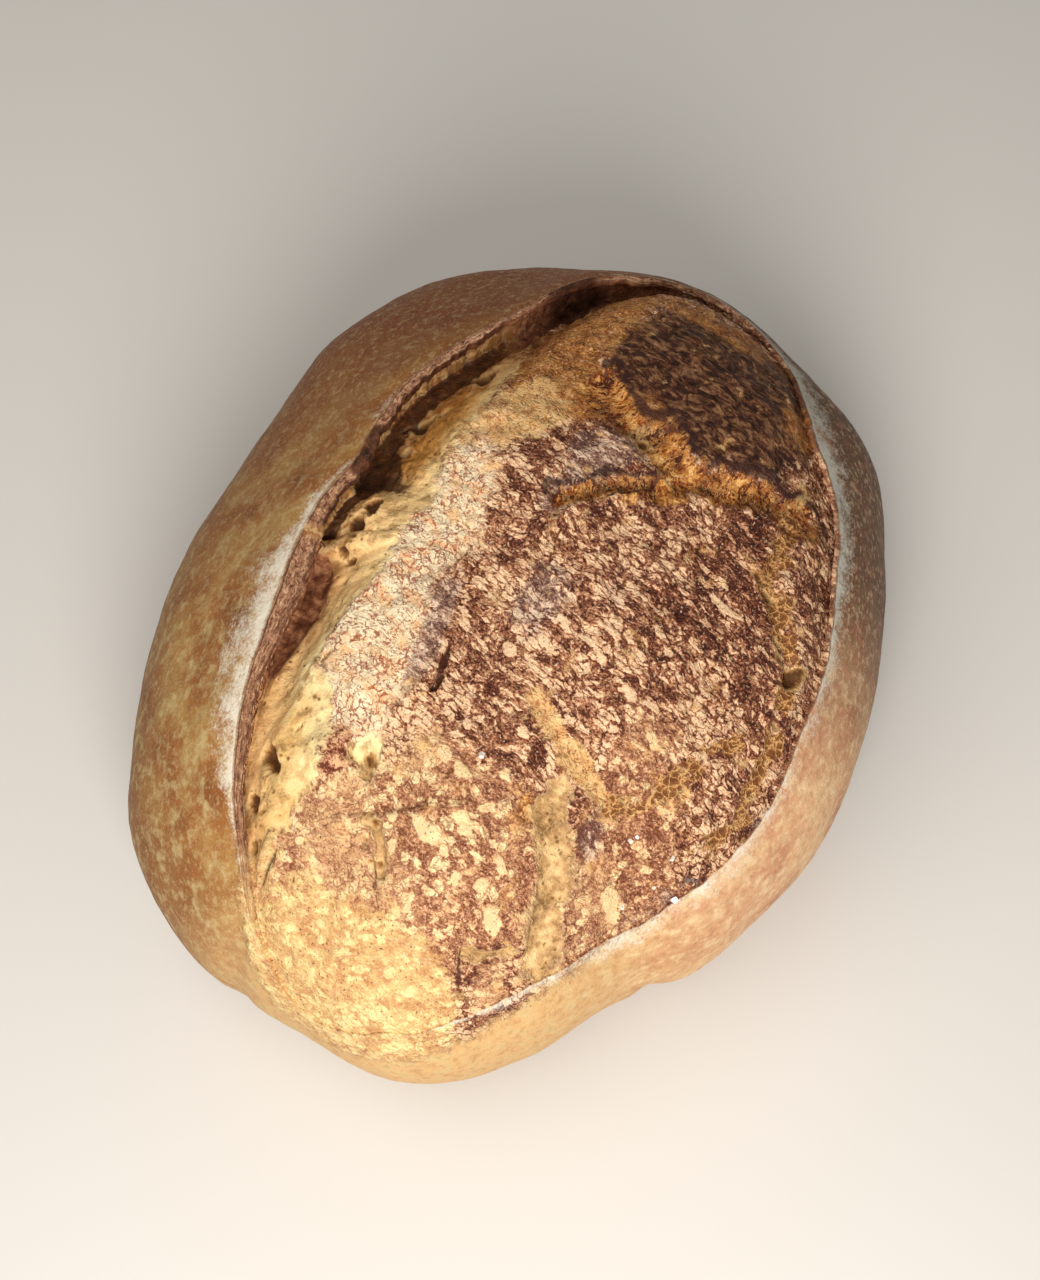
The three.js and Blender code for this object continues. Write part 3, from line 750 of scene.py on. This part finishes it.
class Graph:
    """Short names for the nodes of one material. A size or factor is one number, or one for each axis."""

    def __init__(self, name):
        self.material = bpy.data.materials.new(name)
        self.material.use_nodes = True
        self.tree = self.material.node_tree
        self.shader = self.tree.nodes["Principled BSDF"]

    def put(self, socket, value):
        if isinstance(value, Wave):
            self.tree.links.new(value.socket, socket)
        else:
            socket.default_value = colour(value) if isinstance(value, str) else value

    def set_shader(self, **values):
        for name, value in values.items():
            self.put(self.shader.inputs[name.replace("_", " ")], value)

    def node(self, kind, *values, output=0, inputs=None, **settings):
        made = self.tree.nodes.new("ShaderNode" + kind)
        for key, value in settings.items():
            setattr(made, key, value)
        for socket, value in zip(made.inputs, values):
            if value is not None:
                self.put(socket, value)
        for key, value in (inputs or {}).items():
            self.put(made.inputs[key], value)
        return Wave(self, made.outputs[output])

    def place(self):
        return self.node("TexCoord", output="Object")

    def fact(self, name):
        return self.node("Attribute", output="Fac", attribute_name=name)

    def math(self, operation, *values, clamp=False):
        return self.node("Math", *values, operation=operation, use_clamp=clamp)

    def moved(self, vector, by):
        return self.node("VectorMath", vector, by, operation="ADD")

    def stretched(self, vector, factor):
        factors = factor if isinstance(factor, tuple) else (factor,) * 3
        return self.node("VectorMath", vector, factors, operation="MULTIPLY")

    def per(self, vector, size):
        """A vector counted in steps of the given size."""
        sizes = size if isinstance(size, tuple) else (size,) * 3
        return self.stretched(vector, tuple(1 / step for step in sizes))

    def vector(self, x, y, z):
        return self.node("CombineXYZ", x, y, z)

    def along(self, vector, way):
        return self.node("VectorMath", vector, way, output="Value", operation="DOT_PRODUCT")

    def noise(self, vector, detail=2, roughness=0.5, distortion=0, hue=False):
        inputs = {"Scale": 1, "Detail": detail, "Roughness": roughness, "Distortion": distortion}
        return self.node("TexNoise", vector, output="Color" if hue else "Fac", inputs=inputs)

    def lumps(self, vector, size, *details, hue=False):
        """Noise with lumps of the given size."""
        return self.noise(self.per(vector, size), *details, hue=hue)

    def cells(self, vector, feature, output):
        inputs = {"Scale": 1}
        return self.node("TexVoronoi", vector, output=output, inputs=inputs, feature=feature)

    def levels(self, vector):
        """Each scattered cell's own random level."""
        return self.node("SeparateColor", self.cells(vector, "F1", "Color"))

    def middles(self, vector):
        """How far a point lies from its cell's middle."""
        return self.cells(vector, "F1", "Distance")

    def walls(self, vector):
        """How far a point lies from its cell's wall."""
        return self.cells(vector, "DISTANCE_TO_EDGE", "Distance")

    def step(self, value, low, high, start=0, end=1):
        return self.node("MapRange", value, low, high, start, end, interpolation_type="SMOOTHSTEP")

    def line(self, wave, half):
        """Thin lines where a noise crosses its middle."""
        return self.step(self.math("ABSOLUTE", wave - 0.5), 0.3 * half, half, 1, 0)

    def blend(self, share, first, second, mode="MIX"):
        unused = [None] * 5
        return self.node(
            "Mix", share, *unused, first, second, output=2, data_type="RGBA", blend_type=mode)

    def blend_value(self, share, first, second):
        return self.node("Mix", share, None, first, second, data_type="FLOAT")

    def ramp(self, value, stops):
        """A colour that runs from stop to stop, each written as its place in percent and its colour."""
        made = self.tree.nodes.new("ShaderNodeValToRGB")
        self.put(made.inputs[0], value)
        elements = made.color_ramp.elements
        stops = [stop.split() for stop in stops.split(", ")]
        while len(elements) < len(stops):
            elements.new(0.5)
        for element, (percent, code) in zip(elements, stops):
            element.position = int(percent) / 100
            element.color = colour(code)
        return Wave(self, made.outputs["Color"])


def crust_material():
    g = Graph("baked_crust")
    step, fact, ramp, lumps = g.step, g.fact, g.ramp, g.lumps
    mm = g.stretched(g.place(), 1000)
    bent = g.moved(mm, g.stretched(lumps(mm, 16, hue=True), 7))
    turn = {"Angle": math.radians(FLECK_TURN)}
    turned = g.node("VectorRotate", bent, inputs=turn, rotation_type="Z_AXIS")
    grain = lumps(mm, (1 / 2, 1 / 1.6, 1 / 1.8), 2, 0.6)
    rough = lumps(mm, (2.4, 3.2, 2.8), 4, 0.62)
    patchy = lumps(mm, 7, 3, 0.6)
    fray = lumps(mm, 1.6, hue=True)
    specks = lumps(turned, (0.55, 0.8, 0.7), 3, 0.65)
    broad = lumps(mm, 15)
    broken = lumps(mm, 2.6)
    drift = lumps(turned, (3.2, 6.5, 5), 2, 0.5, 0.2)
    creases = lumps(turned, (1.5, 3.4, 2.4), 2, 0.5, 0.8)
    tone = fact("tone")
    jag, patch, speck, sway = (wave - 0.5 for wave in (rough, patchy, specks, drift))

    def ragged(name, at=0.5, amount=1.1, soft=0.07):
        """A soft patch cut to a crisp, broken outline."""
        moved = fact(name) + amount * jag + amount * 0.6 * patch
        return step(moved, at - soft, at + soft)

    def shifted(place, amount):
        return g.moved(place, g.stretched(fray, amount))

    def chips(place, low, high):
        """The level of each scattered chip and a mask of the chips without their edges."""
        return g.levels(place), step(g.walls(place), low, high)

    # The bloom: crisp pale flakes on a dark reddish skin, long across the loaf or rounded, and curling lines.
    rounded = ragged("round", 0.5, 0.8, 0.2)
    veined = ragged("veined", 0.5, 0.9, 0.15)
    long_level, long_body = chips(g.per(shifted(turned, 1.7), (1.6, 4.4, 3.1)), 0.02, 0.16)
    round_place = g.per(shifted(bent, 2.4), (2.7, 3, 2.8))
    round_level = 1.1 * g.levels(round_place) - 0.16
    round_body = step(g.middles(round_place), 0.58, 0.44)
    small_level, small_body = chips(g.per(shifted(turned, 0.9), (0.9, 1.7, 1.3)), 0.02, 0.14)
    level = g.blend_value(rounded, long_level, round_level)
    leaning = level + 1.1 * tone + 0.6 * (broad - 0.5) + 0.9 * sway
    flakes = step(leaning, 0.22, 0.7) * g.blend_value(rounded, long_body, round_body)
    clusters = step(0.5 * broken + 0.5 * patchy, 0.56, 0.42, 0.05, 1)
    curls = step(g.walls(g.per(shifted(bent, 2.8), (2.4, 2.6, 2.5))), 0.13, 0.03)
    curls = curls * clusters * g.math("MAXIMUM", veined, 0.9 * rounded)
    lines = g.math("MAXIMUM", g.line(creases, 0.045) * step(broken, 0.44, 0.54), curls)
    value = (
        0.26 + 0.46 * flakes + 0.24 * (small_level - 0.5) + 0.12 * (small_body - 0.5)
        + g.blend_value(rounded, 1.3, 1.15) * speck + 0.45 * tone + 0.5 * sway
    )
    fleck = ragged("fleck", 0.62, 1.5, 0.14)
    value = g.math("MAXIMUM", value, fleck * (0.5 * specks + 0.5))
    lines = lines * (1 - 0.8 * fleck)
    brown = ramp(value, "6 381408, 22 6c3824, 40 a66c4c, 58 dca880, 80 fcd8ae")
    rose = ramp(value, "8 683822, 25 a26a4a, 42 d09a70, 62 e8bc8a, 84 fce4ac")
    pinkish = ramp(value, "10 ac7250, 32 d09e72, 54 e4b886, 84 f6d49e")
    golden = ramp(0.26 * value + 0.38 * rough + 0.36 * patchy, "32 b88050, 43 d1a16b, 51 e2bf81, 62 f7e4a4")
    dull = ragged("plate", 0.6, 0.5) * step(fact("russet"), 0.9, 0.5)
    plate = ramp(
        0.42 + 1.7 * (creases - 0.5) + 0.7 * speck + 0.5 * sway + 0.12 * (small_level - 0.5),
        "10 26120a, 30 402214, 48 664028, 74 986e4c")
    russet = ramp(
        0.12 * small_level + 0.6 * specks + 0.5 * patchy,
        "40 622e12, 53 965826, 64 ba7c3c, 78 e0a860")
    glow = ramp(0.5 * rough + 0.5 * specks, "38 c4804a, 48 e8b474, 60 fcda9a")
    cream = ramp(0.5 * drift + 0.5 * specks, "36 fab884, 44 fed5a3, 52 ffeec8")
    plum = ramp(value, "8 52342e, 30 826054, 50 b08e7c, 80 e6ccb4")
    in_gold = step(fact("gold"), 0.3, 0.7)
    line_tint = g.blend(step(value, 0.35, 0.75), "461e16", "7a3c26")
    line_tint = line_tint.coat(veined, "96341a").coat(rounded, "78402c").coat(in_gold, "c68450")
    line_share = g.blend_value(in_gold, g.blend_value(veined, 0.68, 0.86), 0.35)
    knob = ramp(rough + 0.6 * speck, "42 6a3422, 50 a86a4c, 60 e8b48a")
    pricks = lumps(mm, (0.7, 0.8, 0.75), 1)
    bloom = (
        g.blend(rounded, brown, rose)
        .coat(ragged("pink", 0.5, 0.8, 0.2), pinkish)
        .coat(ragged("gold", 0.5, 0.8, 0.15), golden)
        .coat(dull, plate)
        .coat(0.9 * ragged("russet", 0.5, 0.9, 0.25), russet)
        .coat(0.8 * ragged("glow", 0.55, 1.2, 0.2), glow)
        .coat(veined, cream)
        .coat(0.8 * ragged("plum", 0.5, 1, 0.15), plum)
        .coat(lines * line_share, line_tint)
        .coat(ragged("knob", 0.5, 0.8), knob)
        .coat(step(pricks, 0.34, 0.27, 0, 0.75), g.blend(veined, "421e16", "783824"))
        # small painted glints
        .coat(step(pricks, 0.63, 0.71, 0, 0.6) * (1 - dull), "f6d0ac")
    )

    # Torn seams: amber crumb drawn into fibres, chains of bubbles, and pale crumb.
    fibre_place = g.vector(fact("fibre_along") * (1 / 0.8), fact("fibre_across") * (1 / 3), 0)
    fibres = g.noise(shifted(fibre_place, 2.4), 3, 0.6)
    strands = g.line(fibres, 0.035) * step(rough, 0.4, 0.56)
    amber = ramp(
        0.39 + 2.1 * (fibres - 0.5) + 2 * patch + 0.5 * speck + 0.8 * tone,
        "12 4a200e, 32 783c16, 50 9e5c26, 68 c68844, 90 e8b872").coat(0.7 * strands, "e6b670")
    amber_cut = step(fact("amber") + 1.1 * jag + 1.9 * patch, 0.12, 0.78)
    net_walls = g.walls(shifted(g.per(mm, 2.2), 1.3))
    # Darker toward each bubble's middle: painted shade.
    net = ramp(net_walls + 0.12 * (grain - 0.5), "0 d6a870, 6 b27e4a, 14 8e5a2e, 38 663a1c")
    net_cut = ragged("net", 0.55, 1.7, 0.12) * step(patchy, 0.4, 0.5)
    # Pores: small dark holes of painted shade.
    pores = 0.8 * (step(g.middles(g.per(bent, 2.6)), 0.28, 0.12) * step(broken, 0.42, 0.54))
    olive = ramp(0.6 * patchy + 0.4 * rough, "38 7c5832, 46 9e764a, 53 bc9260, 63 eac68e")
    olive = olive.coat(step(net_walls, 0.12, 0.03, 0, 0.22), "eecc90").coat(pores, "6a4420")
    pale_cut = ragged("pale", 0.6, 1.6, 0.14)
    pale_rim = g.math("SUBTRACT", ragged("pale", 0.36, 1.8, 0.14), pale_cut, clamp=True)
    bloom = (
        # painted shadow beside the amber seams
        bloom.coat(0.85 * ragged("dim", 0.4, 0.7, 0.25), "3a1e1a")
        .coat(amber_cut, amber).coat(net_cut, net)
        .coat(0.45 * pale_rim, "f4d096").coat(pale_cut, olive)
    )

    # The crumb that slopes into the hollow: olive and pitted below, bright above, its darkening toward the
    # hollow partly painted shade. Bubbles and cracks.
    sloping = fact("slope") + 0.5 * jag + 0.5 * patch
    cloudy = lumps(mm, 5, 3, 0.55)
    bubble_place = g.per(shifted(bent, 3.2), 4.6)
    bubble_level, bubble_body = chips(bubble_place, 0.04, 0.3)
    webbing = g.line(lumps(bent, (2.4, 3.4, 2.4), 3, 0.6, 0.6), 0.05)
    crumb = ramp(sloping, "2 865630, 12 be8a54, 28 e2b276, 52 f2c688, 74 fad696, 95 ffeab0")
    crumb = (
        crumb.coat(step(cloudy, 0.52, 0.38, 0, 0.6), "b88e56")
        .coat(step(cloudy, 0.56, 0.68, 0, 0.5), "e6a86a")
        # painted shade in the larger bubbles
        .coat(0.62 * (bubble_body * step(bubble_level, 0.45, 0.65)), "926a3a")
        .coat(0.28 * step(g.walls(bubble_place), 0.12, 0.03), "f6d89e")
        .coat(webbing * step(sloping, 0.15, 0.6, 0.05, 0.45), "fad898")
        .coat(pores, "704822")
        .coat(step(fact("honey") + 0.5 * jag, 0.1, 1), "d6b88c", "MULTIPLY")
    )
    crumb_cut = step(fact("crumb") + 0.8 * jag, 0.22, 0.42)
    # Bubble cups: a painted highlight on their rims and painted shade deep inside.
    cup = fact("cup") + jag
    inside = ramp(cup, "45 c4985e, 76 966a38, 100 5a361a")
    bloom = (
        bloom.coat(crumb_cut, crumb)
        .coat(step(cup, 0.1, 0.42, 0, 0.35), "f4d094").coat(step(cup, 0.4, 0.8), inside)
        .coat(0.9 * step(fact("crack"), 0.15, 0.7), "4a2216")
    # painted shade in the cracks
    )

    # The rough strip along the ear, with painted shade along its edges and in the hollow under it.
    streak_place = g.vector(fact("along") * (1 / 1.7), fact("lane") * (1 / 0.55), 0)
    streaks = g.noise(shifted(streak_place, 1.3), 4, 0.65)
    rise = fact("rise")
    strip = ramp(streaks + 0.3 * (grain - 0.5) + 0.4 * jag, "32 543020, 45 8a5e44, 58 b68a6a, 74 deba96")
    # Painted shade along the strip's torn lower edge and along the lip.
    strip = strip.coat(0.7 * step(rise + 0.6 * jag, 0.34, 0.12), "583020")
    strip = strip.coat(step(rise, 0.93, 0.98, 0, 0.8), "3e2218")
    # Painted shade for the hollow under the ear.
    shade = ramp(rough, "35 542c1c, 52 8c583c, 68 be8860")
    # A char colour, also laid on as painted shade under the strip.
    charred = ramp(rough, "35 28120c, 60 562e1a, 75 82502c")
    bloom = (
        bloom.coat(fact("strip"), strip)
        .coat(fact("seat") * step(rough, 0.62, 0.38, 0.1, 0.7), "84563e")
        .coat(0.95 * step(fact("hollow") + 0.9 * jag, 0.2, 0.75), shade)
        .coat(0.9 * ragged("charred", 0.5, 0.8, 0.15), charred)
    )

    # The smooth skin: gold, rosier and darker by turns, with soft flecks, and flour along its edge. Painted
    # light and shade too: lighter toward the viewer, darker away from the viewer, low on the gold flank and
    # at the far right.
    heading = g.along(mm, AWAY_FROM_VIEWER)
    sideways = g.along(mm, VIEWERS_RIGHT)
    up = g.along(mm, (0, 0, 1))
    rosy = step(sideways, -10, 60)
    shaded_far_right = step(heading, -58, 12) * step(sideways, 20, 70)
    mottle = lumps(mm, 15, 3, 0.5)
    gold = ramp(mottle, "34 824e22, 48 9c6834, 62 ac844a")
    # Painted shade low on the gold flank.
    gold = gold.coat(step(up, 92, 56, 0, 0.7), "825426")
    rosy_skin = ramp(mottle, "34 c08864, 48 ce9c74, 62 dab084")
    sage = lumps(mm, 4.5, 4, 0.6)
    freckles = lumps(mm, 1.9)
    fine = lumps(mm, 1 / 1.3, 3, 0.65)
    spotted = step(heading, 60, -30, 0.3, 1) * (1 - shaded_far_right)
    foot = ramp(0.6 * cloudy + 0.4 * freckles, "40 5c361c, 50 7c502c, 60 a07448")
    skin = (
        g.blend(rosy, gold, rosy_skin)
        # painted light toward the viewer, painted shade away from the viewer and at the far right
        .coat(step(heading, -76, -112, 0, 0.8), "deb47a")
        .coat(step(heading, 0, 100, 0, 0.9), "763c16")
        .coat(0.92 * shaded_far_right, "543624")
        .coat(step(sage, 0.48, 0.7, 0, 0.65) * spotted, g.blend(rosy, "c4b07c", "eed2a4"))
        .coat(step(sage, 0.5, 0.3, 0, 0.35), g.blend(rosy, "965830", "ce8a68"))
        .coat(step(freckles, 0.52, 0.68, 0, 0.3), g.blend(rosy, "ceb484", "f0d4ac"))
        .coat(step(freckles, 0.46, 0.32, 0, 0.25), "86502e")
        .coat(step(fine, 0.52, 0.64, 0, 0.15), "ecd2ac")
        .coat(0.8 * step(up, 9, 1), foot)
    )
    flour = fact("flour")
    dusted = step(flour + 1.3 * (fine - 0.5) + 1.3 * (lumps(mm, 5, 3, 0.6) - 0.5), 0.25, 1.05)
    dusted = dusted * step(flour, 0, 0.35) * 0.9
    running_on = step(fact("merge") + 0.9 * jag, 0.3, 0.65)
    baked = g.math("SUBTRACT", fact("skin"), running_on, clamp=True)
    # The flour greyed at the far right: painted shade.
    powder = g.blend(shaded_far_right, "e6decc", "bebcb0")
    surface = bloom.coat(baked, skin).coat(dusted, powder)

    # Relief finer than the mesh, in millimetres. It leaves out single flakes, which are slow to render.
    height = 0.95 * specks + 0.8 * drift + 0.25 * grain
    for share, relief in (
        (g.math("MAXIMUM", crumb_cut, pale_cut), 0.6 * rough + 0.15 * grain + 0.2 * pricks),
        (amber_cut, 1.6 * rough),
        (net_cut, step(net_walls, 0, 0.25, 0.9, 0.4) + 0.3 * grain),
        (fact("strip"), 1.1 * streaks + 0.25 * grain),
        (baked, 0.26 * fine + 0.3 * freckles),
    ):
        height = g.blend_value(share, height, relief)
    bump = g.node("Bump", inputs={"Strength": 0.8, "Distance": 0.001, "Height": height})
    gloss = g.blend_value(fact("skin"), step(value, 0.25, 0.6, 0.5, 0.72), 0.6)
    g.set_shader(Base_Color=surface, Normal=bump, Roughness=gloss, Specular_IOR_Level=0.22)
    return g.material


def salt_material():
    g = Graph("salt")
    g.set_shader(Base_Color="f4ece2", Roughness=0.3)
    return g.material


def floor_material():
    g = Graph("pale_floor")
    cloud = g.lumps(g.place(), 1 / 3, 3)
    g.set_shader(Base_Color=g.blend(cloud, "d6d4d0", "dcdad6"), Roughness=0.8)
    return g.material


# ---- The pieces ----

loaf = loaf_object()
loaf.data.materials.append(crust_material())
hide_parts("loaf")
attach(loaf, "root")

salt = salt_object(loaf)
salt.data.materials.append(salt_material())
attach(salt, "root")

# ---- Floor, light and camera ----


def floor():
    mesh = bpy.data.meshes.new("floor")
    reach = 3.0
    corners = [(-reach, -reach, 0), (reach, -reach, 0), (reach, reach, 0), (-reach, reach, 0)]
    mesh.from_pydata(corners, [], [(0, 1, 2, 3)])
    mesh.materials.append(floor_material())
    plane = add_object("floor", mesh)
    plane.location.z = -0.0002


def aim(thing, eye, target):
    way = Vector(target) - Vector(eye)
    thing.location = eye
    thing.rotation_euler = way.to_track_quat("-Z", "Y").to_euler()


def softbox(name, eye, size, watts, tint):
    data = bpy.data.lights.new(name, "AREA")
    data.shape = "DISK"
    data.size = size
    data.energy = watts
    data.color = tint
    aim(add_object(name, data), eye, (0, 0, 0.06))


VIEW_HEADING = math.radians(30)  # the way the camera looks, in plan from +X
VIEW_ELEVATION = math.radians(65)
VIEW_DISTANCE = 0.604
VIEW_RAISED = 0.00112  # how far the picture's middle lies above the loaf's
ahead = np.array([math.cos(VIEW_HEADING), math.sin(VIEW_HEADING), 0])
aside = np.array([math.sin(VIEW_HEADING), -math.cos(VIEW_HEADING), 0])
upright = np.array([0, 0, 1.0])


def place(forward, right, up):
    """A place given along the camera's heading, to its right and up."""
    return tuple(ahead * forward + aside * right + upright * up)


floor()
camera_data = bpy.data.cameras.new("camera")
camera_data.lens = 60
camera_data.sensor_width = 36
camera_data.clip_start = 0.01
camera = add_object("camera", camera_data)
look = ahead * math.cos(VIEW_ELEVATION) - upright * math.sin(VIEW_ELEVATION)
rise = ahead * math.sin(VIEW_ELEVATION) + upright * math.cos(VIEW_ELEVATION)
target = np.array([-CENTRE[0] / 1000, -CENTRE[1] / 1000, 0.05]) + rise * VIEW_RAISED
aim(camera, tuple(target - look * VIEW_DISTANCE), tuple(target))
bpy.context.scene.camera = camera

softbox("key", place(-0.52, 0.0, 0.46), 0.36, 4.1, (1.0, 0.96, 0.91))
softbox("fill", place(-0.15, -0.35, 1.0), 0.9, 3.4, (1.0, 0.95, 0.88))
world = bpy.data.worlds.new("world")
world.use_nodes = True
sky = world.node_tree.nodes["Background"].inputs
sky["Color"].default_value = (1.0, 0.95, 0.88, 1)
sky["Strength"].default_value = 0.3
bpy.context.scene.world = world
bpy.context.scene.view_settings.view_transform = "Standard"
